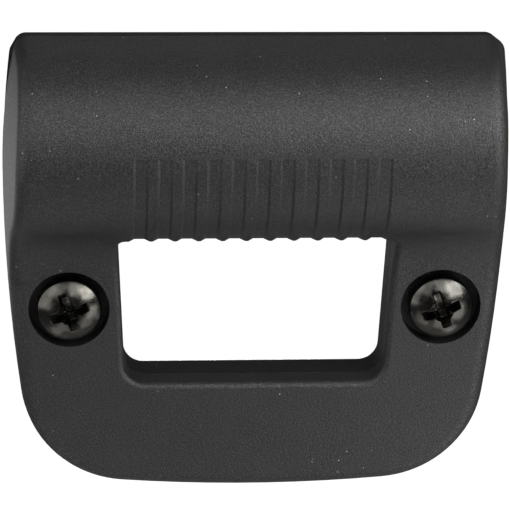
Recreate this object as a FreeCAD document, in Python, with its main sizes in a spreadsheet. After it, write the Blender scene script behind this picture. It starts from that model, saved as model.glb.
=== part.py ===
import FreeCAD, Part
import math
import os
import Sketcher

# Basket light clip: a half-round bar for a lamp on a plate with a strap window, clamped to basket wires
# by a counter plate, two pan head screws and two captive nuts.
# Millimetres. X runs right, Y runs from the front to the back, Z runs up.
# The origin is the middle of the light bar's axis, which lies on the parting plane of the two plates.

doc = FreeCAD.newDocument("basket_light_clip")
sheet = doc.addObject("Spreadsheet::Sheet", "Sizes")

sizes = [
    # light bar
    ("bar_radius", 12.7),
    ("bar_wall", 2.8),
    ("under_land", 5.6),
    ("root_round", 12.0),
    ("crown_lean", 17.0),
    # outline of both plates
    ("half_width", 31.45),
    ("widest_height", -3.3),
    ("upper_side_radius", 75.0),
    ("rear_side_radius", 120.0),
    ("side_radius", 230.0),
    ("corner_radius", 14.0),
    ("bottom_radius", 205.0),
    ("bottom_height", -46.2),
    ("top_corner", 2.0),
    ("rear_inset", 0.2),
    ("rear_rise", 0.15),
    # thickness, draft and edges
    ("front_thick", 3.3),
    ("rear_thick", 5.2),
    ("draft", 9.0),
    ("rear_draft", 7.0),
    ("trim", 1.5),
    ("edge_round", 1.8),
    ("rim_round", 0.8),
    ("seam_round", 0.3),
    ("part_round", 0.4),
    ("rear_round", 1.2),
    # strap window
    ("window_top_half", 17.2),
    ("window_low_half", 16.4),
    ("window_floor", -31.5),
    ("window_top_corner", 0.9),
    ("window_low_corner", 2.6),
    # grip grooves
    ("grip_count", 11),
    ("grip_pitch", 2.93),
    ("grip_width", 1.86),
    ("grip_depth", 0.2),
    ("grip_run", 0.3),
    ("grip_proud", 2.5),
    ("grip_lead", 5.5),
    ("grip_angle", 95.5),
    # hollow behind the bar
    ("cell_count", 4),
    ("end_wall", 4.05),
    ("web_thick", 2.0),
    # wire channels
    ("wire_radius", 1.75),
    ("upper_wire", -5.8),
    ("lower_wire", -38.3),
    # screws and nuts
    ("screw_edge", 8.15),
    ("screw_drop", 21.3),
    ("shank_radius", 2.0),
    ("shank_length", 10.0),
    ("shank_chamfer", 0.5),
    ("head_radius", 4.0),
    ("head_height", 3.2),
    ("head_corner", 0.5),
    ("head_dome", 6.0),
    ("cross_span", 4.8),
    ("cross_width", 1.3),
    ("cross_depth", 1.9),
    ("cross_taper", 7.0),
    ("cross_turn", 17.0),
    ("recess_radius", 5.05),
    ("seat_thick", 2.0),
    ("seat_radius", 3.4),
    ("gutter_thick", 0.9),
    ("shank_gap", 0.2),
    ("nut_flats", 7.0),
    ("nut_thick", 3.2),
    ("nut_inset", 0.1),
    ("nut_bevel", 30.0),
    ("nut_gap", 0.1),
    ("thread_gap", 0.05),
]

for row, (name, number) in enumerate(sizes, start=1):
    sheet.set(f"A{row}", name)
    sheet.set(f"B{row}", str(number))
    sheet.setAlias(f"B{row}", name)
doc.recompute()


def size(name):
    return float(sheet.get(name))


def vec(x, y):
    return FreeCAD.Vector(x, y, 0)


def arc(centre, radius, start, end):
    circle = Part.Circle(centre, FreeCAD.Vector(0, 0, 1), radius)
    return Part.ArcOfCircle(circle, math.radians(start), math.radians(end))


def line(start, end):
    return Part.LineSegment(start, end)


def heading(start, end):
    return math.degrees(math.atan2(end.y - start.y, end.x - start.x))


def mirror(point):
    return vec(-point.x, point.y)


def plane(body, role):
    for item in body.Origin.OriginFeatures:
        if item.Role == role:
            return item


def new_body(label):
    body = doc.addObject("PartDesign::Body", label)
    body.Label = label
    return body


def new_sketch(body, name, role, offset=None):
    sketch = doc.addObject("Sketcher::SketchObject", f"{body.Name}_{name}")
    body.addObject(sketch)
    sketch.AttachmentSupport = [(plane(body, role), "")]
    sketch.MapMode = "FlatFace"
    if offset:
        sketch.setExpression("AttachmentOffset.Base.z", offset)
    return sketch


def rule(sketch, *terms):
    sketch.addConstraint(Sketcher.Constraint(*terms))


# A dimension of a sketch, driven by the sheet.
def drive(sketch, name, expression, *terms):
    index = sketch.addConstraint(Sketcher.Constraint(*terms))
    sketch.renameConstraint(index, name)
    sketch.setExpression(f".Constraints.{name}", expression)


# Distances of a sketch point from the sketch origin.
def across(sketch, name, expression, geometry, point, number):
    drive(sketch, name, expression, "DistanceX", -1, 1, geometry, point, number)


def along(sketch, name, expression, geometry, point, number):
    drive(sketch, name, expression, "DistanceY", -1, 1, geometry, point, number)


def feature(body, kind, name, profile=None, **settings):
    item = doc.addObject(f"PartDesign::{kind}", f"{body.Name}_{name}")
    body.addObject(item)
    if profile is not None:
        item.Profile = profile
        profile.Visibility = False
    for key, setting in settings.items():
        setattr(item, key, setting)
    return item


def round_edges(body, name, base, edges, expression):
    item = feature(body, "Fillet", name)
    item.Base = (base, edges)
    item.setExpression("Radius", expression)
    doc.recompute()
    return item


# Names of the edges that the test accepts.
def pick_edges(shape, accept):
    return [f"Edge{number}" for number, edge in enumerate(shape.Edges, start=1) if accept(edge)]


def middle(edge):
    return edge.valueAt((edge.FirstParameter + edge.LastParameter) / 2)


def normal_of(face):
    low_u, high_u, low_v, high_v = face.ParameterRange
    return face.normalAt((low_u + high_u) / 2, (low_v + high_v) / 2)


# Where circles of two centres and radii meet, on the lower right.
def meeting(first, first_radius, second, second_radius):
    gap = second - first
    reach = gap.Length
    step = (first_radius**2 - second_radius**2 + reach**2) / (2 * reach)
    rise = math.sqrt(first_radius**2 - step**2)
    foot = first + gap * (step / reach)
    side = vec(gap.y, -gap.x) * (rise / reach)
    return min(foot + side, foot - side, key=lambda point: point.y)


# A rectangle between two corners. The rules drive its left, right, lower and upper sides.
def rectangle(sketch, low, high, rules):
    spots = [low, vec(high.x, low.y), high, vec(low.x, high.y)]
    sides = [sketch.addGeometry(line(spots[number - 1], spots[number])) for number in range(4)]
    for number in range(4):
        rule(sketch, "Coincident", sides[number - 1], 2, sides[number], 1)
    rule(sketch, "Vertical", sides[0])
    rule(sketch, "Horizontal", sides[1])
    rule(sketch, "Vertical", sides[2])
    rule(sketch, "Horizontal", sides[3])
    across(sketch, "left_x", rules[0], sides[1], 1, low.x)
    across(sketch, "right_x", rules[1], sides[1], 2, high.x)
    along(sketch, "lower_y", rules[2], sides[1], 1, low.y)
    along(sketch, "upper_y", rules[3], sides[3], 1, high.y)


# Outline of a plate: crowned sides in two arcs, wide lower corners and a bowed bottom edge.
# The rear plate is a little smaller and has rounded upper corners.
def outline(body, top, is_rear):
    shrink = size("rear_inset") if is_rear else 0.0
    less = " - Sizes.rear_inset" if is_rear else ""
    upper_name = "rear_side_radius" if is_rear else "upper_side_radius"
    high = size("bar_radius") + size("rear_rise" if is_rear else "trim")
    side = size("side_radius") - shrink
    upper = size(upper_name) - shrink
    corner = size("corner_radius") - shrink
    bottom = size("bottom_radius") - shrink
    side_centre = vec(size("half_width") - size("side_radius"), size("widest_height"))
    upper_centre = vec(size("half_width") - size(upper_name), size("widest_height"))
    bottom_centre = vec(0, size("bottom_height") + size("bottom_radius"))
    corner_centre = meeting(side_centre, side - corner, bottom_centre, bottom - corner)
    low = heading(side_centre, corner_centre)
    flat = heading(bottom_centre, corner_centre)
    if is_rear:
        tip = size("top_corner")
        tip_height = high - tip
        reach = math.sqrt((upper - tip) ** 2 - (tip_height - upper_centre.y) ** 2)
        tip_centre = vec(upper_centre.x + reach, tip_height)
        lift = heading(upper_centre, tip_centre)
        shoulder = tip_centre.x
    else:
        lift = math.degrees(math.asin((high - upper_centre.y) / upper))
        shoulder = upper_centre.x + upper * math.cos(math.radians(lift))
    sketch = new_sketch(body, "outline", "XZ_Plane")
    right_high = sketch.addGeometry(arc(upper_centre, upper, 0, lift))
    right = sketch.addGeometry(arc(side_centre, side, low, 0))
    right_low = sketch.addGeometry(arc(corner_centre, corner, flat, low))
    base = sketch.addGeometry(arc(bottom_centre, bottom, -180 - flat, flat))
    left_low = sketch.addGeometry(arc(mirror(corner_centre), corner, 180 - low, 180 - flat))
    left = sketch.addGeometry(arc(mirror(side_centre), side, 180, 180 - low))
    left_high = sketch.addGeometry(arc(mirror(upper_centre), upper, 180 - lift, 180))
    crest = sketch.addGeometry(line(vec(-shoulder, high), vec(shoulder, high)))
    rule(sketch, "Tangent", right_high, 1, right, 2)
    rule(sketch, "Tangent", left, 1, left_high, 2)
    rule(sketch, "Tangent", right, 1, right_low, 2)
    rule(sketch, "Tangent", right_low, 1, base, 2)
    rule(sketch, "Tangent", base, 1, left_low, 2)
    rule(sketch, "Tangent", left_low, 1, left, 2)
    if is_rear:
        right_tip = sketch.addGeometry(arc(tip_centre, tip, lift, 90))
        left_tip = sketch.addGeometry(arc(mirror(tip_centre), tip, 90, 180 - lift))
        rule(sketch, "Tangent", right_high, 2, right_tip, 1)
        rule(sketch, "Tangent", right_tip, 2, crest, 2)
        rule(sketch, "Tangent", left_tip, 1, crest, 1)
        rule(sketch, "Tangent", left_tip, 2, left_high, 1)
        rule(sketch, "Equal", right_tip, left_tip)
        drive(sketch, "tip_radius", "Sizes.top_corner", "Radius", right_tip, tip)
    else:
        rule(sketch, "Coincident", right_high, 2, crest, 2)
        rule(sketch, "Coincident", left_high, 1, crest, 1)
        rule(sketch, "Horizontal", crest)
    rule(sketch, "Equal", right_high, left_high)
    rule(sketch, "Equal", right, left)
    rule(sketch, "Equal", right_low, left_low)
    rule(sketch, "PointOnObject", base, 3, -2)
    drive(sketch, "upper_radius", f"Sizes.{upper_name}" + less, "Radius", right_high, upper)
    drive(sketch, "side_radius", "Sizes.side_radius" + less, "Radius", right, side)
    drive(sketch, "corner_radius", "Sizes.corner_radius" + less, "Radius", right_low, corner)
    drive(sketch, "bottom_radius", "Sizes.bottom_radius" + less, "Radius", base, bottom)
    across(sketch, "right_x", "Sizes.half_width - Sizes.side_radius", right, 3, side_centre.x)
    across(sketch, "left_x", "Sizes.side_radius - Sizes.half_width", left, 3, -side_centre.x)
    along(sketch, "right_z", "Sizes.widest_height", right, 3, side_centre.y)
    along(sketch, "left_z", "Sizes.widest_height", left, 3, side_centre.y)
    along(sketch, "right_high_z", "Sizes.widest_height", right_high, 3, upper_centre.y)
    along(sketch, "left_high_z", "Sizes.widest_height", left_high, 3, upper_centre.y)
    along(sketch, "base_z", "Sizes.bottom_height + Sizes.bottom_radius", base, 3, bottom_centre.y)
    along(sketch, "crest_z", top, crest, 1, high)
    return sketch


# Height of the flat under the bar
land_rule = "-sqrt(Sizes.bar_radius^2 - Sizes.under_land^2)"


# Strap window, the same in both plates. Its top is the flat under the bar.
def window(body):
    top_half = size("window_top_half")
    low_half = size("window_low_half")
    floor = size("window_floor")
    small = size("window_top_corner")
    large = size("window_low_corner")
    top = -math.sqrt(size("bar_radius") ** 2 - size("under_land") ** 2)
    # The side leans outward towards the top.
    lean = math.degrees(math.atan2(top_half - low_half, top - floor - small - large))
    turn = math.radians(lean)
    upper_centre = vec(top_half - small * math.cos(turn), top - small)
    lower_centre = vec(low_half - large * math.cos(turn), floor + large)

    def rim(centre, radius):
        return centre + vec(math.cos(turn), -math.sin(turn)) * radius

    upper = rim(upper_centre, small)
    lower = rim(lower_centre, large)
    sketch = new_sketch(body, "window", "XZ_Plane")
    crest = sketch.addGeometry(line(vec(-upper_centre.x, top), vec(upper_centre.x, top)))
    right_top = sketch.addGeometry(arc(upper_centre, small, -lean, 90))
    right = sketch.addGeometry(line(lower, upper))
    right_low = sketch.addGeometry(arc(lower_centre, large, -90, -lean))
    base = sketch.addGeometry(line(vec(-lower_centre.x, floor), vec(lower_centre.x, floor)))
    left_low = sketch.addGeometry(arc(mirror(lower_centre), large, 180 + lean, 270))
    left = sketch.addGeometry(line(mirror(lower), mirror(upper)))
    left_top = sketch.addGeometry(arc(mirror(upper_centre), small, 90, 180 + lean))
    rule(sketch, "Tangent", crest, 2, right_top, 2)
    rule(sketch, "Tangent", right_top, 1, right, 2)
    rule(sketch, "Tangent", right, 1, right_low, 2)
    rule(sketch, "Tangent", right_low, 1, base, 2)
    rule(sketch, "Tangent", base, 1, left_low, 2)
    rule(sketch, "Tangent", left_low, 1, left, 1)
    rule(sketch, "Tangent", left, 2, left_top, 2)
    rule(sketch, "Tangent", left_top, 1, crest, 1)
    rule(sketch, "Horizontal", crest)
    rule(sketch, "Horizontal", base)
    rule(sketch, "Equal", right_top, left_top)
    rule(sketch, "Equal", right_low, left_low)
    drive(sketch, "small_radius", "Sizes.window_top_corner", "Radius", right_top, small)
    drive(sketch, "large_radius", "Sizes.window_low_corner", "Radius", right_low, large)
    along(sketch, "crest_z", land_rule, crest, 1, top)
    along(sketch, "base_z", "Sizes.window_floor", base, 1, floor)
    across(sketch, "right_top_x", "Sizes.window_top_half", right, 2, upper.x)
    across(sketch, "right_low_x", "Sizes.window_low_half", right, 1, lower.x)
    across(sketch, "left_top_x", "-Sizes.window_top_half", left, 2, -upper.x)
    across(sketch, "left_low_x", "-Sizes.window_low_half", left, 1, -lower.x)
    return sketch


# Place of the screw axes, beside the window
screw_x = size("half_width") - size("screw_edge")
screw_z = -size("screw_drop")
screw_x_rule = "(Sizes.half_width - Sizes.screw_edge)"
screw_z_rule = "-Sizes.screw_drop"


# A circle round each screw axis.
def add_circles(sketch, name, radius, expression):
    for word, sign in (("left", -1), ("right", 1)):
        centre = vec(sign * screw_x, screw_z)
        ring = sketch.addGeometry(Part.Circle(centre, FreeCAD.Vector(0, 0, 1), radius))
        drive(sketch, f"{name}_{word}_radius", expression, "Radius", ring, radius)
        across(sketch, f"{name}_{word}_x", f"{sign} * {screw_x_rule}", ring, 3, centre.x)
        along(sketch, f"{name}_{word}_z", screw_z_rule, ring, 3, centre.y)


def screw_circles(body, name, radius, expression, offset=None):
    sketch = new_sketch(body, name, "XZ_Plane", offset)
    add_circles(sketch, name, radius, expression)
    return sketch


# A hexagon with flats above and below its centre.
def hexagon(sketch, word, centre, centre_rules, flats, expression):
    radius = flats / 2 / math.cos(math.radians(30))
    points = []
    for corner in range(6):
        turn = math.radians(60 * corner)
        points.append(centre + vec(math.cos(turn), math.sin(turn)) * radius)
    edges = []
    for corner in range(6):
        edges.append(sketch.addGeometry(line(points[corner], points[(corner + 1) % 6])))
    ring = sketch.addGeometry(Part.Circle(centre, FreeCAD.Vector(0, 0, 1), radius), True)
    for corner in range(6):
        rule(sketch, "Coincident", edges[corner], 2, edges[(corner + 1) % 6], 1)
        rule(sketch, "PointOnObject", edges[corner], 1, ring)
    for corner in range(1, 6):
        rule(sketch, "Equal", edges[0], edges[corner])
    rule(sketch, "Horizontal", edges[1])
    drive(sketch, f"{word}_radius", f"({expression}) / 2 / cos(30 deg)", "Radius", ring, radius)
    across(sketch, f"{word}_x", centre_rules[0], ring, 3, centre.x)
    along(sketch, f"{word}_z", centre_rules[1], ring, 3, centre.y)


# Front shell
shell = new_body("front_shell")
block = feature(shell, "Pad", "block", outline(shell, "Sizes.bar_radius + Sizes.trim", False))
block.setExpression("Length", "Sizes.bar_radius + Sizes.trim")
block.setExpression("TaperAngle", "-Sizes.draft")
doc.recompute()

# Side view of everything in front of the bar and the plate, which is cut away.
# The top of the bar runs straight back to the parting plane.
bar = size("bar_radius")
root = size("root_round")
face = -size("front_thick")
root_centre = vec(face - root, -math.sqrt((bar + root) ** 2 - (face - root) ** 2))
root_turn = heading(root_centre, vec(0, 0))
crown = math.radians(size("crown_lean"))
crown_spot = vec(-bar * math.sin(crown), bar * math.cos(crown))
crest = bar / math.cos(crown)
high = bar + 2 * size("trim")
deep = size("bottom_height") - size("trim")
front = -bar - 2 * size("trim")
contour = new_sketch(shell, "contour", "YZ_Plane")
bow = contour.addGeometry(arc(vec(0, 0), bar, 90 + size("crown_lean"), 180 + root_turn))
hollow = contour.addGeometry(arc(root_centre, root, 0, root_turn))
flat = contour.addGeometry(line(vec(face, root_centre.y), vec(face, deep)))
under = contour.addGeometry(line(vec(face, deep), vec(front, deep)))
ahead = contour.addGeometry(line(vec(front, deep), vec(front, high)))
above = contour.addGeometry(line(vec(front, high), vec(0, high)))
behind = contour.addGeometry(line(vec(0, high), vec(0, crest)))
brow = contour.addGeometry(line(vec(0, crest), crown_spot))
rule(contour, "Tangent", bow, 2, hollow, 2)
rule(contour, "Tangent", hollow, 1, flat, 1)
rule(contour, "Coincident", flat, 2, under, 1)
rule(contour, "Coincident", under, 2, ahead, 1)
rule(contour, "Coincident", ahead, 2, above, 1)
rule(contour, "Coincident", above, 2, behind, 1)
rule(contour, "Coincident", behind, 2, brow, 1)
rule(contour, "Tangent", brow, 2, bow, 1)
rule(contour, "Horizontal", under)
rule(contour, "Vertical", ahead)
rule(contour, "Horizontal", above)
rule(contour, "Vertical", behind)
rule(contour, "Vertical", flat)
rule(contour, "Coincident", bow, 3, -1, 1)
rule(contour, "PointOnObject", brow, 1, -2)
drive(contour, "bow_radius", "Sizes.bar_radius", "Radius", bow, bar)
drive(contour, "root_radius", "Sizes.root_round", "Radius", hollow, root)
across(contour, "crown_y", "-Sizes.bar_radius * sin(Sizes.crown_lean * 1 deg)", bow, 1, crown_spot.x)
across(contour, "face_y", "-Sizes.front_thick", flat, 2, face)
along(contour, "deep_z", "Sizes.bottom_height - Sizes.trim", under, 1, deep)
across(contour, "front_y", "-Sizes.bar_radius - 2 * Sizes.trim", ahead, 1, front)
along(contour, "high_z", "Sizes.bar_radius + 2 * Sizes.trim", above, 1, high)
feature(shell, "Pocket", "contour_cut", contour, Type="ThroughAll", SideType="Symmetric")
doc.recompute()

opened = feature(shell, "Pocket", "window_cut", window(shell), Type="ThroughAll", SideType="Symmetric")
doc.recompute()

# The window walls run straight back. The drafted outer faces lean by the draft angle.
lean = math.sin(math.radians(size("draft")))
near = 0.02


# Edges in front of the parting plane with one face that leans as wanted.
def meets_lean(shape, edge, wanted):
    if middle(edge).y > -near:
        return False
    leans = [abs(normal_of(side).y) for side in shape.ancestorsOfType(edge, Part.Face)]
    return len([value for value in leans if abs(value - wanted) < near]) == 1


rim_edges = pick_edges(opened.Shape, lambda edge: meets_lean(opened.Shape, edge, 0.0))
rimmed = round_edges(shell, "rim", opened, rim_edges, "Sizes.rim_round")
outer_edges = pick_edges(rimmed.Shape, lambda edge: meets_lean(rimmed.Shape, edge, lean))
edged = round_edges(shell, "edges", rimmed, outer_edges, "Sizes.edge_round")


# The parting edge that runs round the outside is eased.
def on_parting(edge):
    return max(abs(vertex.Y) for vertex in edge.Vertexes) < near


# The window rim is well inside the outer edge.
def on_window(edge):
    spot = middle(edge)
    wide = max(size("window_top_half"), size("window_low_half")) + near
    return abs(spot.x) < wide and size("window_floor") - near < spot.z < 0


part_edges = pick_edges(edged.Shape, lambda edge: on_parting(edge) and not on_window(edge))
round_edges(shell, "parting", edged, part_edges, "Sizes.part_round")

# Grip grooves with sloped walls turn about the bar axis, from above its foremost line down into the window.
grip = new_sketch(shell, "grip", "XY_Plane")
grip_tilt = FreeCAD.Rotation(FreeCAD.Vector(-1, 0, 0), size("grip_lead"))
grip.AttachmentOffset = FreeCAD.Placement(FreeCAD.Vector(), grip_tilt)
grip.setExpression("AttachmentOffset.Rotation.Angle", "Sizes.grip_lead")
grip_middle = -(size("grip_count") - 1) / 2 * size("grip_pitch")
grip_wide = size("grip_width") / 2 + size("grip_proud") * size("grip_run")
grip_narrow = size("grip_width") / 2 - size("grip_run")
inner = -bar + size("grip_depth")
outer = -bar - size("grip_proud") * size("grip_depth")
spots = [
    vec(grip_middle - grip_wide, outer),
    vec(grip_middle + grip_wide, outer),
    vec(grip_middle + grip_narrow, inner),
    vec(grip_middle - grip_narrow, inner),
]
sides = [grip.addGeometry(line(spots[number - 1], spots[number])) for number in range(4)]
for number in range(4):
    rule(grip, "Coincident", sides[number - 1], 2, sides[number], 1)
rule(grip, "Horizontal", sides[1])
rule(grip, "Horizontal", sides[3])
middle_rule = "-(Sizes.grip_count - 1) / 2 * Sizes.grip_pitch"
wide_rule = "(Sizes.grip_width / 2 + Sizes.grip_proud * Sizes.grip_run)"
narrow_rule = "(Sizes.grip_width / 2 - Sizes.grip_run)"
across(grip, "outer_left", f"{middle_rule} - {wide_rule}", sides[1], 1, spots[0].x)
across(grip, "outer_right", f"{middle_rule} + {wide_rule}", sides[1], 2, spots[1].x)
across(grip, "inner_right", f"{middle_rule} + {narrow_rule}", sides[3], 1, spots[2].x)
across(grip, "inner_left", f"{middle_rule} - {narrow_rule}", sides[3], 2, spots[3].x)
along(grip, "outer_y", "-Sizes.bar_radius - Sizes.grip_proud * Sizes.grip_depth", sides[1], 1, outer)
along(grip, "inner_y", "-Sizes.bar_radius + Sizes.grip_depth", sides[3], 1, inner)
groove = feature(shell, "Groove", "grip_cut", grip, ReferenceAxis=(grip, ["H_Axis"]))
groove.setExpression("Angle", "Sizes.grip_angle")
doc.recompute()
grips = feature(shell, "LinearPattern", "grips", Originals=[groove])
grips.Direction = (plane(shell, "X_Axis"), [""])
grips.setExpression("Length", "(Sizes.grip_count - 1) * Sizes.grip_pitch")
grips.setExpression("Occurrences", "Sizes.grip_count")
shell.Tip = grips
doc.recompute()

# Screw recesses with a gutter round the seat of the head, and clearance holes
recess = screw_circles(shell, "recess", size("recess_radius"), "Sizes.recess_radius", "Sizes.seat_thick")
feature(shell, "Pocket", "recess_cut", recess, Type="ThroughAll", Reversed=True)
doc.recompute()
gutter = screw_circles(shell, "gutter", size("recess_radius"), "Sizes.recess_radius", "Sizes.gutter_thick")
add_circles(gutter, "seat", size("seat_radius"), "Sizes.seat_radius")
feature(shell, "Pocket", "gutter_cut", gutter, Type="ThroughAll", Reversed=True)
doc.recompute()
clear = size("shank_radius") + size("shank_gap")
clear_rule = "Sizes.shank_radius + Sizes.shank_gap"
holes = screw_circles(shell, "holes", clear, clear_rule)
feature(shell, "Pocket", "hole_cut", holes, Type="ThroughAll", SideType="Symmetric")
doc.recompute()

# Hollow cells behind the bar, with webs left between them
cell_radius = bar - size("bar_wall")
cell_floor = size("bar_wall") - math.sqrt(bar**2 - size("under_land") ** 2)
cell_reach = math.sqrt(cell_radius**2 - cell_floor**2)
cell_turn = math.degrees(math.atan2(cell_floor, -cell_reach)) % 360
pitch_rule = "((2 * (Sizes.half_width - Sizes.end_wall) + Sizes.web_thick) / Sizes.cell_count)"
cell = new_sketch(shell, "cell", "YZ_Plane", "Sizes.end_wall - Sizes.half_width")
vault = cell.addGeometry(arc(vec(0, 0), cell_radius, 90, cell_turn))
ground = cell.addGeometry(line(vec(-cell_reach, cell_floor), vec(0, cell_floor)))
mouth = cell.addGeometry(line(vec(0, cell_floor), vec(0, cell_radius)))
rule(cell, "Coincident", vault, 2, ground, 1)
rule(cell, "Coincident", ground, 2, mouth, 1)
rule(cell, "Coincident", mouth, 2, vault, 1)
rule(cell, "Horizontal", ground)
rule(cell, "Vertical", mouth)
rule(cell, "Coincident", vault, 3, -1, 1)
rule(cell, "PointOnObject", vault, 1, -2)
drive(cell, "vault_radius", "Sizes.bar_radius - Sizes.bar_wall", "Radius", vault, cell_radius)
along(cell, "floor_z", land_rule + " + Sizes.bar_wall", ground, 1, cell_floor)
cored = feature(shell, "Pocket", "cell_cut", cell, Reversed=True)
cored.setExpression("Length", pitch_rule + " - Sizes.web_thick")
doc.recompute()
cells = feature(shell, "LinearPattern", "cells", Originals=[cored])
cells.Direction = (plane(shell, "X_Axis"), [""])
cells.setExpression("Length", "(Sizes.cell_count - 1) * " + pitch_rule)
cells.setExpression("Occurrences", "Sizes.cell_count")
shell.Tip = cells
doc.recompute()

# Rear plate
rear = new_body("rear_plate")
slab = feature(rear, "Pad", "slab", outline(rear, "Sizes.bar_radius + Sizes.rear_rise", True), Reversed=True)
slab.setExpression("Length", "Sizes.rear_thick")
slab.setExpression("TaperAngle", "-Sizes.rear_draft")
doc.recompute()


def on_back(edge):
    levels = [middle(edge).y] + [vertex.Y for vertex in edge.Vertexes]
    return max(abs(level - size("rear_thick")) for level in levels) < near


round_edges(rear, "edges", slab, pick_edges(slab.Shape, on_back), "Sizes.rear_round")
rear_window = feature(rear, "Pocket", "window_cut", window(rear), Type="ThroughAll", SideType="Symmetric")
doc.recompute()


rim_edges = pick_edges(rear_window.Shape, lambda edge: on_window(edge) and on_back(edge))
rear_rim = round_edges(rear, "rim", rear_window, rim_edges, "Sizes.rim_round")
seam_edges = pick_edges(rear_rim.Shape, lambda edge: on_window(edge) and on_parting(edge))
round_edges(rear, "seam", rear_rim, seam_edges, "Sizes.seam_round")


# Channel across the front of the rear plate for one basket wire
def channel(word, height_name):
    wire = size("wire_radius")
    height = size(height_name)
    sketch = new_sketch(rear, word, "YZ_Plane")
    bed = sketch.addGeometry(arc(vec(wire, height), wire, -90, 90))
    lower = sketch.addGeometry(line(vec(0, height - wire), vec(wire, height - wire)))
    upper = sketch.addGeometry(line(vec(wire, height + wire), vec(0, height + wire)))
    gate = sketch.addGeometry(line(vec(0, height + wire), vec(0, height - wire)))
    rule(sketch, "Tangent", lower, 2, bed, 1)
    rule(sketch, "Tangent", bed, 2, upper, 1)
    rule(sketch, "Coincident", upper, 2, gate, 1)
    rule(sketch, "Coincident", gate, 2, lower, 1)
    rule(sketch, "Horizontal", lower)
    rule(sketch, "Horizontal", upper)
    rule(sketch, "Vertical", gate)
    rule(sketch, "PointOnObject", gate, 1, -2)
    drive(sketch, "bed_radius", "Sizes.wire_radius", "Radius", bed, wire)
    along(sketch, "height", f"Sizes.{height_name}", bed, 3, height)
    across(sketch, "depth", "Sizes.wire_radius", bed, 3, wire)
    feature(rear, "Pocket", f"{word}_cut", sketch, Type="ThroughAll", SideType="Symmetric")
    doc.recompute()


channel("upper_channel", "upper_wire")
channel("lower_channel", "lower_wire")

rear_holes = screw_circles(rear, "holes", clear, clear_rule)
feature(rear, "Pocket", "hole_cut", rear_holes, Type="ThroughAll", SideType="Symmetric")
doc.recompute()

# Nut pockets open at the back. Their floor carries the nut.
pocket_rule = "Sizes.nut_flats + 2 * Sizes.nut_gap"
pocket_flats = size("nut_flats") + 2 * size("nut_gap")
nests = new_sketch(rear, "nests", "XZ_Plane", "Sizes.nut_thick - Sizes.rear_thick")
for word, sign in (("left", -1), ("right", 1)):
    spot = vec(sign * screw_x, screw_z)
    spot_rules = (f"{sign} * {screw_x_rule}", screw_z_rule)
    hexagon(nests, word, spot, spot_rules, pocket_flats, pocket_rule)
feature(rear, "Pocket", "nest_cut", nests, Type="ThroughAll")
doc.recompute()


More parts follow.
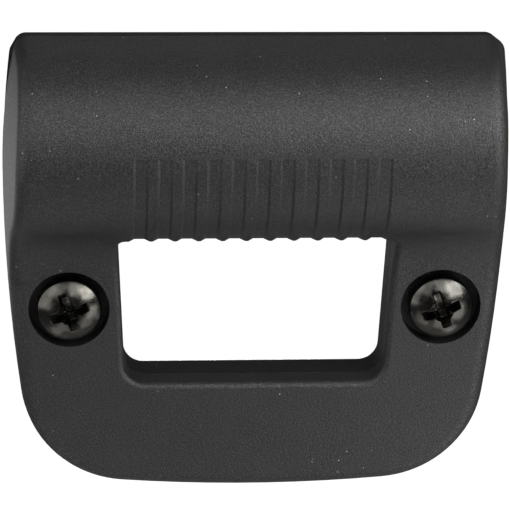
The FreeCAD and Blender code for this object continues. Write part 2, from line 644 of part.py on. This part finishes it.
# Pan head screw, built upright: the seat of the head is at zero and the shank hangs below.
def screw(label, sign):
    body = new_body(label)
    shank = size("shank_radius")
    length = size("shank_length")
    cut = size("shank_chamfer")
    head = size("head_radius")
    height = size("head_height")
    small = size("head_corner")
    dome = size("head_dome")
    dome_centre = vec(0, height - dome)
    rise = math.sqrt((dome - small) ** 2 - (head - small) ** 2)
    small_centre = vec(head - small, dome_centre.y + rise)
    turn = heading(dome_centre, small_centre)
    sketch = new_sketch(body, "profile", "XZ_Plane")
    core = sketch.addGeometry(line(vec(0, height), vec(0, -length)))
    end = sketch.addGeometry(line(vec(0, -length), vec(shank - cut, -length)))
    bevel = sketch.addGeometry(line(vec(shank - cut, -length), vec(shank, cut - length)))
    stem = sketch.addGeometry(line(vec(shank, cut - length), vec(shank, 0)))
    seat = sketch.addGeometry(line(vec(shank, 0), vec(head, 0)))
    wall = sketch.addGeometry(line(vec(head, 0), vec(head, small_centre.y)))
    edge = sketch.addGeometry(arc(small_centre, small, 0, turn))
    cap = sketch.addGeometry(arc(dome_centre, dome, turn, 90))
    rule(sketch, "Coincident", core, 2, end, 1)
    rule(sketch, "Coincident", end, 2, bevel, 1)
    rule(sketch, "Coincident", bevel, 2, stem, 1)
    rule(sketch, "Coincident", stem, 2, seat, 1)
    rule(sketch, "Coincident", seat, 2, wall, 1)
    rule(sketch, "Tangent", wall, 2, edge, 1)
    rule(sketch, "Tangent", edge, 2, cap, 1)
    rule(sketch, "Coincident", cap, 2, core, 1)
    rule(sketch, "PointOnObject", core, 1, -2)
    rule(sketch, "PointOnObject", core, 2, -2)
    rule(sketch, "PointOnObject", cap, 3, -2)
    rule(sketch, "PointOnObject", seat, 1, -1)
    rule(sketch, "Horizontal", end)
    rule(sketch, "Vertical", stem)
    rule(sketch, "Horizontal", seat)
    rule(sketch, "Vertical", wall)
    along(sketch, "length", "-Sizes.shank_length", core, 2, -length)
    along(sketch, "bevel_z", "Sizes.shank_chamfer - Sizes.shank_length", bevel, 2, cut - length)
    across(sketch, "bevel_x", "Sizes.shank_radius - Sizes.shank_chamfer", bevel, 1, shank - cut)
    across(sketch, "shank", "Sizes.shank_radius", stem, 1, shank)
    across(sketch, "head", "Sizes.head_radius", wall, 1, head)
    along(sketch, "height", "Sizes.head_height", core, 1, height)
    drive(sketch, "small_radius", "Sizes.head_corner", "Radius", edge, small)
    drive(sketch, "dome_radius", "Sizes.head_dome", "Radius", cap, dome)
    turned = feature(body, "Revolution", "turned", sketch, ReferenceAxis=(sketch, ["V_Axis"]))
    turned.Angle = 360
    doc.recompute()

    # Cross recess: two crossed slots that narrow with depth.
    arm = size("cross_span") / 2
    half = size("cross_width") / 2
    slot = new_sketch(body, "slot", "XY_Plane", "Sizes.head_height")
    slot_rules = [
        "-Sizes.cross_span / 2",
        "Sizes.cross_span / 2",
        "-Sizes.cross_width / 2",
        "Sizes.cross_width / 2",
    ]
    rectangle(slot, vec(-arm, -half), vec(arm, half), slot_rules)
    driven = feature(body, "Pocket", "slot_cut", slot)
    driven.setExpression("Length", "Sizes.cross_depth")
    driven.setExpression("TaperAngle", "-Sizes.cross_taper")
    doc.recompute()
    cross = feature(body, "PolarPattern", "cross", Originals=[driven])
    cross.Axis = (plane(body, "Z_Axis"), [""])
    cross.Angle = 90
    cross.Occurrences = 2
    body.Tip = cross
    doc.recompute()
    upright = FreeCAD.Rotation(FreeCAD.Vector(1, 0, 0), 90)
    spin = FreeCAD.Rotation(FreeCAD.Vector(0, 0, 1), size("cross_turn"))
    body.Placement = FreeCAD.Placement(FreeCAD.Vector(), upright.multiply(spin))
    body.setExpression("Placement.Base.x", f"{sign} * {screw_x_rule}")
    body.setExpression("Placement.Base.y", "-Sizes.seat_thick")
    body.setExpression("Placement.Base.z", screw_z_rule)
    return body


# Hexagon nut, built upright: its bearing face is at zero and it hangs below.
def nut(label, sign):
    body = new_body(label)
    flats = size("nut_flats")
    thick = size("nut_thick")
    sketch = new_sketch(body, "hexagon", "XY_Plane")
    hexagon(sketch, "flats", vec(0, 0), ("0", "0"), flats, "Sizes.nut_flats")
    prism = feature(body, "Pad", "prism", sketch, Reversed=True)
    prism.setExpression("Length", "Sizes.nut_thick")
    doc.recompute()

    # The corners are turned off at both ends.
    inside = flats / 2 - size("nut_inset")
    outside = flats / 2 / math.cos(math.radians(30)) + size("nut_inset")
    drop = (outside - inside) * math.tan(math.radians(size("nut_bevel")))
    inside_rule = "Sizes.nut_flats / 2 - Sizes.nut_inset"
    outside_rule = "Sizes.nut_flats / 2 / cos(30 deg) + Sizes.nut_inset"
    drop_rule = f"({outside_rule} - ({inside_rule})) * tan(Sizes.nut_bevel * 1 deg)"
    bevel = new_sketch(body, "bevel", "XZ_Plane")
    for word, level, level_rule, sense in (("top", 0.0, "0", -1), ("low", -thick, "-Sizes.nut_thick", 1)):
        fall = level + sense * drop
        fall_rule = f"{level_rule} + {sense} * {drop_rule}"
        spots = [vec(inside, level), vec(outside, level), vec(outside, fall)]
        sides = [bevel.addGeometry(line(spots[number - 1], spots[number])) for number in range(3)]
        for number in range(3):
            rule(bevel, "Coincident", sides[number - 1], 2, sides[number], 1)
        rule(bevel, "Horizontal", sides[1])
        rule(bevel, "Vertical", sides[2])
        along(bevel, f"{word}_z", level_rule, sides[1], 1, level)
        across(bevel, f"{word}_in", inside_rule, sides[1], 1, inside)
        across(bevel, f"{word}_out", outside_rule, sides[1], 2, outside)
        along(bevel, f"{word}_fall", fall_rule, sides[2], 2, fall)
    turned = feature(body, "Groove", "bevel_cut", bevel, ReferenceAxis=(bevel, ["V_Axis"]))
    turned.Angle = 360
    doc.recompute()
    bore_radius = size("shank_radius") + size("thread_gap")
    bore = new_sketch(body, "bore", "XY_Plane")
    ring = bore.addGeometry(Part.Circle(vec(0, 0), FreeCAD.Vector(0, 0, 1), bore_radius))
    rule(bore, "Coincident", ring, 3, -1, 1)
    drive(bore, "bore_radius", "Sizes.shank_radius + Sizes.thread_gap", "Radius", ring, bore_radius)
    feature(body, "Pocket", "bore_cut", bore, Type="ThroughAll")
    doc.recompute()
    body.Placement = FreeCAD.Placement(FreeCAD.Vector(), FreeCAD.Rotation(FreeCAD.Vector(1, 0, 0), 90))
    body.setExpression("Placement.Base.x", f"{sign} * {screw_x_rule}")
    body.setExpression("Placement.Base.y", "Sizes.rear_thick - Sizes.nut_thick")
    body.setExpression("Placement.Base.z", screw_z_rule)
    return body


bodies = [shell, rear]
for side, sign in (("left", -1), ("right", 1)):
    bodies.append(screw(f"{side}_screw", sign))
    bodies.append(nut(f"{side}_nut", sign))
doc.recompute()

for item in doc.Objects:
    if "Invalid" in item.State or "Error" in item.State:
        raise RuntimeError(f"{item.Name} did not build: {item.State}")

os.makedirs("parts", exist_ok=True)
for body in bodies:
    if body.Shape.isNull() or not body.Shape.isValid():
        raise RuntimeError(f"{body.Label} has no valid shape")
    body.Shape.exportStep(f"parts/{body.Label}.step")
    print(body.Label, round(body.Shape.Volume, 1), "mm3")
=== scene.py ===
import math

import bmesh
import bpy
from mathutils import Matrix, Vector


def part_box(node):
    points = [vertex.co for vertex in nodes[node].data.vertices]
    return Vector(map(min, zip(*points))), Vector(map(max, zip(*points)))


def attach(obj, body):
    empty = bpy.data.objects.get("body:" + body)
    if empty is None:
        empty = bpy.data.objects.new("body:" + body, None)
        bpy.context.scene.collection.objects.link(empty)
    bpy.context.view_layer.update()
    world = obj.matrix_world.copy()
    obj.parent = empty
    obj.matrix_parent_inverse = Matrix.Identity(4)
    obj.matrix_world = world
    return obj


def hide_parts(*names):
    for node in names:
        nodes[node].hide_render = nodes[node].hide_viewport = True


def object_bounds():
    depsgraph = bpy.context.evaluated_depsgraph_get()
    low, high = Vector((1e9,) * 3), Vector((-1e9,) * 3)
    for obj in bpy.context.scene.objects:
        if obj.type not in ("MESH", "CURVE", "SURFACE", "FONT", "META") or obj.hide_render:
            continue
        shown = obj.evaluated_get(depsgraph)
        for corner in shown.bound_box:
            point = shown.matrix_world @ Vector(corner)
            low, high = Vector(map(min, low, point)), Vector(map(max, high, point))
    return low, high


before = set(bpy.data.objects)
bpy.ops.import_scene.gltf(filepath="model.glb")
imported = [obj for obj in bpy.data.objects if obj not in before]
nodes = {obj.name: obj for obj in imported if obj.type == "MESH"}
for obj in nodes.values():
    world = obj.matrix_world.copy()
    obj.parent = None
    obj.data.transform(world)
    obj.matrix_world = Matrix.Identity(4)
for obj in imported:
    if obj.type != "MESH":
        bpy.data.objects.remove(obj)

cadLow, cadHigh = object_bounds()
mm = 0.001
print("frame loaded:", ", ".join(sorted(nodes)))


def newMaterial(name):
    material = bpy.data.materials.new(name)
    material.use_nodes = True
    tree = material.node_tree
    return material, tree, tree.nodes["Principled BSDF"]


def addNode(tree, kind, settings=None, **sockets):
    node = tree.nodes.new(kind)
    for key, value in (settings or {}).items():
        setattr(node, key, value)
    for key, value in sockets.items():
        node.inputs[key.replace("_", " ")].default_value = value
    return node


def noiseAt(tree, coords, sizeMm, detail, rough):
    noise = addNode(tree, "ShaderNodeTexNoise", Scale=1000.0 / sizeMm, Detail=detail, Roughness=rough)
    tree.links.new(coords.outputs["Object"], noise.inputs["Vector"])
    return noise


def rangeOf(tree, source, low, high, fromLow=0.3, fromHigh=0.7):
    remap = addNode(tree, "ShaderNodeMapRange", From_Min=fromLow, From_Max=fromHigh, To_Min=low, To_Max=high)
    tree.links.new(source, remap.inputs["Value"])
    return remap.outputs["Result"]


def mathOf(tree, operation, first, second):
    node = addNode(tree, "ShaderNodeMath", {"operation": operation})
    for number, value in enumerate((first, second)):
        if isinstance(value, float):
            node.inputs[number].default_value = value
        else:
            tree.links.new(value, node.inputs[number])
    return node.outputs["Value"]


shellLook = {
    "color": (0.0052, 0.0052, 0.0051, 1.0),
    "dust": (0.0085, 0.0086, 0.0083, 1.0),
    "speck": (0.28, 0.28, 0.28, 1.0),
    "shineLow": 0.33,
    "shineHigh": 0.92,
    "roughLow": 0.40,
    "roughHigh": 0.54,
    "sparkMm": 0.15,
    "grainMm": 0.17,
    "pitMm": 0.40,
    "mottleMm": 4.0,
    "speckMm": 1.1,
    "grainDepthMm": 0.080,
    "pitWeight": 0.4,
    "mottleShare": 0.6,
    "sparkSpan": (0.42, 0.78),
    "speckRim": (0.05, 0.09),
    "speckSpan": (0.80, 0.92),
}


# moulded plastic with a spark eroded grain, and a light speck here and there
def grainPlastic(name, look):
    material, tree, shader = newMaterial(name)
    links = tree.links
    coords = addNode(tree, "ShaderNodeTexCoord")
    spark = noiseAt(tree, coords, look["sparkMm"], detail=1.0, rough=0.5)
    grain = noiseAt(tree, coords, look["grainMm"], detail=3.0, rough=0.65)
    pits = noiseAt(tree, coords, look["pitMm"], detail=2.0, rough=0.5)
    mottle = noiseAt(tree, coords, look["mottleMm"], detail=3.0, rough=0.5)

    tint = addNode(tree, "ShaderNodeMix", {"data_type": "RGBA"})
    tint.inputs["A"].default_value = look["color"]
    tint.inputs["B"].default_value = look["dust"]
    links.new(rangeOf(tree, mottle.outputs["Fac"], 0.0, look["mottleShare"]), tint.inputs["Factor"])

    # specks are the middles of a few voronoi cells
    speck = addNode(tree, "ShaderNodeTexVoronoi", Scale=1000.0 / look["speckMm"])
    links.new(coords.outputs["Object"], speck.inputs["Vector"])
    dot = rangeOf(tree, speck.outputs["Distance"], 1.0, 0.0, *look["speckRim"])
    pick = addNode(tree, "ShaderNodeSeparateColor")
    links.new(speck.outputs["Color"], pick.inputs["Color"])
    few = rangeOf(tree, pick.outputs["Red"], 0.0, 1.0, *look["speckSpan"])
    flecked = addNode(tree, "ShaderNodeMix", {"data_type": "RGBA"})
    links.new(mathOf(tree, "MULTIPLY", dot, few), flecked.inputs["Factor"])
    links.new(tint.outputs["Result"], flecked.inputs["A"])
    flecked.inputs["B"].default_value = look["speck"]
    links.new(flecked.outputs["Result"], shader.inputs["Base Color"])

    dullness = rangeOf(tree, grain.outputs["Fac"], look["roughLow"], look["roughHigh"])
    links.new(dullness, shader.inputs["Roughness"])
    shine = rangeOf(tree, spark.outputs["Fac"], look["shineLow"], look["shineHigh"], *look["sparkSpan"])
    links.new(shine, shader.inputs["Specular IOR Level"])

    pitted = mathOf(tree, "MULTIPLY", pits.outputs["Fac"], look["pitWeight"])
    height = mathOf(tree, "ADD", pitted, grain.outputs["Fac"])
    bump = addNode(tree, "ShaderNodeBump", Strength=1.0, Distance=look["grainDepthMm"] * mm)
    links.new(height, bump.inputs["Height"])
    links.new(bump.outputs["Normal"], shader.inputs["Normal"])
    return material


steelLook = {
    "color": (0.046, 0.044, 0.040, 1.0),
    "worn": (0.072, 0.070, 0.063, 1.0),
    "metallic": 1.0,
    "roughLow": 0.16,
    "roughHigh": 0.28,
    "grainMm": 0.45,
    "wearMm": 1.4,
    "grainDepthMm": 0.012,
    "wearSpan": (0.4, 0.7),
}


# blackened steel, rubbed a little paler in patches
def blackSteel(name, look):
    material, tree, shader = newMaterial(name)
    links = tree.links
    coords = addNode(tree, "ShaderNodeTexCoord")
    grain = noiseAt(tree, coords, look["grainMm"], detail=4.0, rough=0.6)
    wear = noiseAt(tree, coords, look["wearMm"], detail=3.0, rough=0.55)
    tint = addNode(tree, "ShaderNodeMix", {"data_type": "RGBA"})
    tint.inputs["A"].default_value = look["color"]
    tint.inputs["B"].default_value = look["worn"]
    links.new(rangeOf(tree, wear.outputs["Fac"], 0.0, 1.0, *look["wearSpan"]), tint.inputs["Factor"])
    links.new(tint.outputs["Result"], shader.inputs["Base Color"])
    dullness = rangeOf(tree, grain.outputs["Fac"], look["roughLow"], look["roughHigh"])
    links.new(dullness, shader.inputs["Roughness"])
    shader.inputs["Metallic"].default_value = look["metallic"]
    bump = addNode(tree, "ShaderNodeBump", Strength=1.0, Distance=look["grainDepthMm"] * mm)
    links.new(grain.outputs["Fac"], bump.inputs["Height"])
    links.new(bump.outputs["Normal"], shader.inputs["Normal"])
    return material


# the rear plate is the shell's own plastic. Its darker colour and weaker sheen are painted shade, so that the
# thin edge of the plate above the shell renders as a black line
plateLookPaintedShade = dict(
    shellLook,
    color=(0.0040, 0.0040, 0.0040, 1.0),
    dust=(0.0065, 0.0065, 0.0065, 1.0),
    shineLow=0.20,
    shineHigh=0.60,
)
nutLook = dict(steelLook, roughLow=0.30, roughHigh=0.46)

shellPlastic = grainPlastic("shellPlastic", shellLook)
platePlasticPaintedShade = grainPlastic("platePlasticPaintedShade", plateLookPaintedShade)
screwSteel = blackSteel("screwSteel", steelLook)
nutSteel = blackSteel("nutSteel", nutLook)


def dress(mesh, material):
    mesh.materials.clear()
    mesh.materials.append(material)


dress(nodes["front_shell"].data, shellPlastic)
dress(nodes["rear_plate"].data, platePlasticPaintedShade)
dress(nodes["left_nut"].data, nutSteel)
dress(nodes["right_nut"].data, nutSteel)
print("materials set")


# M4 pan head screw, built upright with the seat of its head at zero
screwShape = {
    "headMm": 4.0,
    "heightMm": 3.2,
    "cornerMm": 0.5,
    "domeMm": 6.0,
    "shankMm": 2.0,
    "lengthMm": 10.0,
    "tipMm": 0.5,
    "pitchMm": 0.7,
    "threadMm": 0.42,
    "armMm": 2.7,
    "armFootMm": 1.55,
    "wingMm": 0.66,
    "wingFootMm": 0.42,
    "crossDepthMm": 2.3,
    "pitMm": 1.52,
    "pitFootMm": 0.5,
    "pitDepthMm": 2.7,
    "turnDeg": 20.0,
    "edgeMm": 0.06,
    "edgeDeg": 32.0,
    "smoothDeg": 40.0,
    "roundMm": 0.2,
    "neckMm": 0.3,
    "crestShare": 0.1,
    "flankShare": 0.75,
    "fadeFromMm": 0.5,
    "fadeMm": 0.6,
    "slackMm": 0.05,
    "mergeMm": 0.0005,
    "steps": 64,
    "domeSteps": 10,
    "edgeSteps": 3,
    "ringsPerPitch": 10,
}


def arcPoints(centre, radius, startDeg, endDeg, steps):
    for step in range(steps + 1):
        turn = math.radians(startDeg + (endDeg - startDeg) * step / steps)
        yield centre[0] + radius * math.cos(turn), centre[1] + radius * math.sin(turn)


def screwProfile(shape):
    head, corner, dome = shape["headMm"], shape["cornerMm"], shape["domeMm"]
    edge, neck = shape["roundMm"], shape["neckMm"]
    shank, length, tip = shape["shankMm"], shape["lengthMm"], shape["tipMm"]
    domeSteps, edgeSteps = shape["domeSteps"], shape["edgeSteps"]
    domeLow = shape["heightMm"] - dome
    rise = math.sqrt((dome - corner) ** 2 - (head - corner) ** 2)
    meetDeg = math.degrees(math.atan2(rise, head - corner))
    points = list(arcPoints((0.0, domeLow), dome, 90.0, meetDeg, domeSteps))
    points += list(arcPoints((head - corner, domeLow + rise), corner, meetDeg, 0.0, domeSteps))[1:]
    points += list(arcPoints((head - edge, edge), edge, 0.0, -90.0, edgeSteps))
    points += list(arcPoints((shank + edge, -edge), edge, 90.0, 180.0, edgeSteps))
    straight = length - tip - neck
    rings = round(straight / shape["pitchMm"] * shape["ringsPerPitch"])
    for ring in range(rings + 1):
        points.append((shank, -neck - straight * ring / rings))
    points += [(shank - tip, -length), (0.0, -length)]
    return points


# depth of the thread below the crest, faded out under the head and at the tip
def threadDepth(shape, spot):
    if spot.z > -shape["neckMm"] or math.hypot(spot.x, spot.y) < shape["shankMm"] - shape["slackMm"]:
        return 0.0
    phase = (spot.z / shape["pitchMm"] - math.atan2(spot.y, spot.x) / math.tau) % 1.0
    slope = (1.0 - abs(2.0 * phase - 1.0) - shape["crestShare"]) / shape["flankShare"]
    flank = min(max(slope, 0.0), 1.0)
    fade = min(max((-shape["fadeFromMm"] - spot.z) / shape["fadeMm"], 0.0), 1.0)
    return shape["threadMm"] * flank * fade


def newPiece(name, shape):
    mesh = bpy.data.meshes.new(name)
    shape.to_mesh(mesh)
    shape.free()
    piece = bpy.data.objects.new(name, mesh)
    bpy.context.scene.collection.objects.link(piece)
    return piece


# wedge for one pair of arms of the cross recess, wide at the top and narrow at its foot
def makeWedge(shape, turnDeg):
    top, foot = shape["heightMm"], shape["heightMm"] - shape["crossDepthMm"]
    wedge = bmesh.new()
    bmesh.ops.create_cube(wedge, size=2.0)
    for vert in wedge.verts:
        isTop = vert.co.z > 0.0
        vert.co.x *= shape["armMm"] if isTop else shape["armFootMm"]
        vert.co.y *= shape["wingMm"] if isTop else shape["wingFootMm"]
        vert.co.z = top + shape["slackMm"] if isTop else foot
    bmesh.ops.rotate(wedge, verts=wedge.verts, matrix=Matrix.Rotation(math.radians(turnDeg), 3, "Z"))
    return newPiece("wedge", wedge)


def makePit(shape):
    pit = bmesh.new()
    depth = shape["pitDepthMm"] + shape["slackMm"]
    bmesh.ops.create_cone(
        pit, cap_ends=True, segments=32, radius1=shape["pitFootMm"], radius2=shape["pitMm"], depth=depth
    )
    bmesh.ops.translate(pit, verts=pit.verts, vec=(0.0, 0.0, shape["heightMm"] + shape["slackMm"] - depth / 2))
    return newPiece("pit", pit)


# built in millimetres, and scaled when it is placed
def makeScrewMesh(shape):
    turned = bmesh.new()
    chain = [turned.verts.new((radius, 0.0, height)) for radius, height in screwProfile(shape)]
    edges = [turned.edges.new(pair) for pair in zip(chain, chain[1:])]
    bmesh.ops.spin(
        turned, geom=chain + edges, axis=(0, 0, 1), cent=(0, 0, 0), dvec=(0, 0, 0),
        angle=math.tau, steps=shape["steps"], use_merge=True
    )
    bmesh.ops.remove_doubles(turned, verts=turned.verts, dist=shape["mergeMm"])
    bmesh.ops.recalc_face_normals(turned, faces=turned.faces)
    screw = newPiece("screwBlank", turned)
    cutters = [makeWedge(shape, 0.0), makeWedge(shape, 90.0), makePit(shape)]
    for cutter in cutters:
        cut = screw.modifiers.new("recess", "BOOLEAN")
        cut.operation = "DIFFERENCE"
        cut.solver = "EXACT"
        cut.object = cutter
    ease = screw.modifiers.new("ease", "BEVEL")
    ease.width = shape["edgeMm"]
    ease.segments = 2
    ease.limit_method = "ANGLE"
    ease.angle_limit = math.radians(shape["edgeDeg"])
    ready = screw.evaluated_get(bpy.context.evaluated_depsgraph_get())
    mesh = bpy.data.meshes.new_from_object(ready)
    for piece in cutters + [screw]:
        bpy.data.objects.remove(piece)
    for vert in mesh.vertices:
        reach = math.hypot(vert.co.x, vert.co.y)
        if reach > 0.0:
            vert.co.xy *= (reach - threadDepth(shape, vert.co)) / reach
    mesh.shade_smooth()
    mesh.set_sharp_from_angle(angle=math.radians(shape["smoothDeg"]))
    dress(mesh, screwSteel)
    return mesh


def placeScrew(side, mesh, shape):
    node = f"{side}_screw"
    low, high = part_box(node)
    seat = Vector(((low.x + high.x) / 2, high.y - shape["lengthMm"] * mm, (low.z + high.z) / 2))
    upright = Matrix.Rotation(math.radians(90.0), 4, "X")
    spun = Matrix.Rotation(math.radians(shape["turnDeg"]), 4, "Z")
    placed = mesh.copy()
    placed.transform(Matrix.Translation(seat) @ upright @ spun @ Matrix.Scale(mm, 4))
    screw = bpy.data.objects.new(f"{side}_cross_screw", placed)
    bpy.context.scene.collection.objects.link(screw)
    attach(screw, f"{side}_screw_body")
    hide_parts(node)


screwMesh = makeScrewMesh(screwShape)
placeScrew("left", screwMesh, screwShape)
placeScrew("right", screwMesh, screwShape)
print("screws made:", len(screwMesh.polygons), "faces each")


studio = {
    "floorDropMm": 300.0,
    "floorSizeMm": 6000.0,
    "floorColor": (0.90, 0.90, 0.90, 1.0),
    "floorLift": 1.0,
    "floorGloss": 0.05,
    "floorRough": 0.9,
    "roomHigh": 0.03,
    "roomLow": 0.02,
    "roomSpan": (0.40, 0.85),
    "horizonSpan": (0.06, 0.22),
}

# softboxes at the upper right and left, one for the back, and small pale cards round the clip
lamps = {
    "keyLamp": {"atMm": (160.0, -150.0, 100.0), "aimMm": (0.0, -6.0, -15.0), "sizeMm": 150.0, "watts": 0.70},
    "highLamp": {"atMm": (60.0, -220.0, 180.0), "aimMm": (0.0, -6.0, -15.0), "sizeMm": 170.0, "watts": 0.34},
    "fillLamp": {"atMm": (-155.0, -185.0, 165.0), "aimMm": (-10.0, -8.0, 0.0), "sizeMm": 200.0, "watts": 0.24},
    "backLamp": {"atMm": (16.0, 320.0, -95.0), "aimMm": (0.0, 5.0, -20.0), "sizeMm": 30.0, "watts": 0.16},
    "leftCard": {"atMm": (-200.0, -60.0, 40.0), "aimMm": (-10.0, -8.0, 0.0), "sizeMm": 220.0, "watts": 0.33},
    "rightCard": {"atMm": (170.0, -15.0, 75.0), "aimMm": (30.0, -9.0, 8.0), "sizeMm": 80.0, "watts": 0.07},
    "lowCard": {"atMm": (100.0, -80.0, -70.0), "aimMm": (12.0, -3.0, -36.0), "sizeMm": 70.0, "watts": 0.055},
    "rightFoot": {"atMm": (35.0, -50.0, -85.0), "aimMm": (20.0, -3.0, -42.0), "sizeMm": 45.0, "watts": 0.0105},
    "leftFoot": {"atMm": (-35.0, -55.0, -90.0), "aimMm": (-20.0, -3.0, -42.0), "sizeMm": 50.0, "watts": 0.0085},
    "rightRoot": {"atMm": (40.0, -14.0, -60.0), "aimMm": (24.0, -8.0, -13.0), "sizeMm": 14.0, "watts": 0.0011},
    "leftRoot": {"atMm": (-40.0, -14.0, -60.0), "aimMm": (-24.0, -8.0, -13.0), "sizeMm": 14.0, "watts": 0.0007},
    "topCard": {"atMm": (0.0, 160.0, 210.0), "aimMm": (0.0, 0.0, 5.0), "sizeMm": 150.0, "watts": 0.068},
    "endCard": {"atMm": (-62.0, 44.0, -20.0), "aimMm": (-31.0, -3.0, -2.0), "sizeMm": 36.0, "watts": 0.0048},
}


# 1 for rays from the camera or through glass, which show the background, and a share of it for gloss
def seenAsBackground(tree, glossShare):
    path = addNode(tree, "ShaderNodeLightPath")
    direct = mathOf(tree, "MAXIMUM", path.outputs["Is Camera Ray"], path.outputs["Is Transmission Ray"])
    gloss = mathOf(tree, "MULTIPLY", path.outputs["Is Glossy Ray"], glossShare)
    return mathOf(tree, "MAXIMUM", direct, gloss)


def makeFloor():
    shape = bmesh.new()
    bmesh.ops.create_grid(shape, x_segments=1, y_segments=1, size=studio["floorSizeMm"] / 2 * mm)
    bmesh.ops.translate(shape, verts=shape.verts, vec=(0, 0, cadLow.z - studio["floorDropMm"] * mm))
    floor = newPiece("floor", shape)
    material, tree, shader = newMaterial("paleFloor")
    shader.inputs["Base Color"].default_value = studio["floorColor"]
    shader.inputs["Roughness"].default_value = studio["floorRough"]
    shader.inputs["Emission Color"].default_value = (1.0, 1.0, 1.0, 1.0)
    lift = mathOf(tree, "MULTIPLY", seenAsBackground(tree, studio["floorGloss"]), studio["floorLift"])
    tree.links.new(lift, shader.inputs["Emission Strength"])
    dress(floor.data, material)


# a dim room with a pale ceiling, and white behind the clip for what shows the background
def makeWorld():
    world = bpy.data.worlds.new("studio")
    bpy.context.scene.world = world
    world.use_nodes = True
    tree = world.node_tree
    coords = addNode(tree, "ShaderNodeTexCoord")
    parts = addNode(tree, "ShaderNodeSeparateXYZ")
    tree.links.new(coords.outputs["Generated"], parts.inputs["Vector"])
    room = rangeOf(tree, parts.outputs["Z"], studio["roomLow"], studio["roomHigh"], *studio["roomSpan"])
    horizon = rangeOf(tree, parts.outputs["Z"], studio["floorGloss"], 0.0, *studio["horizonSpan"])
    shown = addNode(tree, "ShaderNodeMix", {"data_type": "FLOAT"})
    tree.links.new(seenAsBackground(tree, horizon), shown.inputs["Factor"])
    tree.links.new(room, shown.inputs["A"])
    shown.inputs["B"].default_value = 1.0
    tree.links.new(shown.outputs["Result"], tree.nodes["Background"].inputs["Strength"])
    tree.nodes["Background"].inputs["Color"].default_value = (1.0, 1.0, 1.0, 1.0)


def makeLamp(name, settings):
    lamp = bpy.data.lights.new(name, "AREA")
    lamp.shape = "SQUARE"
    lamp.size = settings["sizeMm"] * mm
    lamp.energy = settings["watts"]
    holder = bpy.data.objects.new(name, lamp)
    bpy.context.scene.collection.objects.link(holder)
    holder.visible_camera = False
    holder.location = Vector(settings["atMm"]) * mm
    toClip = Vector(settings["aimMm"]) * mm - holder.location
    holder.rotation_euler = toClip.to_track_quat("-Z", "Y").to_euler()


# the photograph's view: 20 degrees above the clip, a little from the left, 350 mm away
shot = {
    "targetMm": (0.03, 0.0, -15.46),
    "distanceMm": 350.0,
    "pitchDeg": 20.0,
    "yawDeg": 4.12,
    "rollDeg": 1.03,
    "framePx": 510,
    "mmPerPx": 0.1255,
}


def makeCamera():
    pitch, yaw, roll = (math.radians(shot[key]) for key in ("pitchDeg", "yawDeg", "rollDeg"))
    back = Vector((-math.cos(pitch) * math.sin(yaw), -math.cos(pitch) * math.cos(yaw), math.sin(pitch)))
    right = (-back).cross(Vector((0, 0, 1))).normalized()
    up = right.cross(-back)
    tilted = right * math.cos(roll) + up * math.sin(roll)
    raised = up * math.cos(roll) - right * math.sin(roll)
    place = (Vector(shot["targetMm"]) + back * shot["distanceMm"]) * mm
    data = bpy.data.cameras.new("camera")
    data.sensor_width = 36.0
    data.lens = data.sensor_width * shot["distanceMm"] / (shot["framePx"] * shot["mmPerPx"])
    data.clip_start = 0.01
    data.clip_end = 20.0
    camera = bpy.data.objects.new("camera", data)
    bpy.context.scene.collection.objects.link(camera)
    turn = Matrix((tilted, raised, back)).transposed().to_4x4()
    camera.matrix_world = Matrix.Translation(place) @ turn
    bpy.context.scene.camera = camera


makeFloor()
makeWorld()
for name, settings in lamps.items():
    makeLamp(name, settings)
makeCamera()
bpy.context.scene.view_settings.view_transform = "Standard"
print("floor, lamps and camera set")
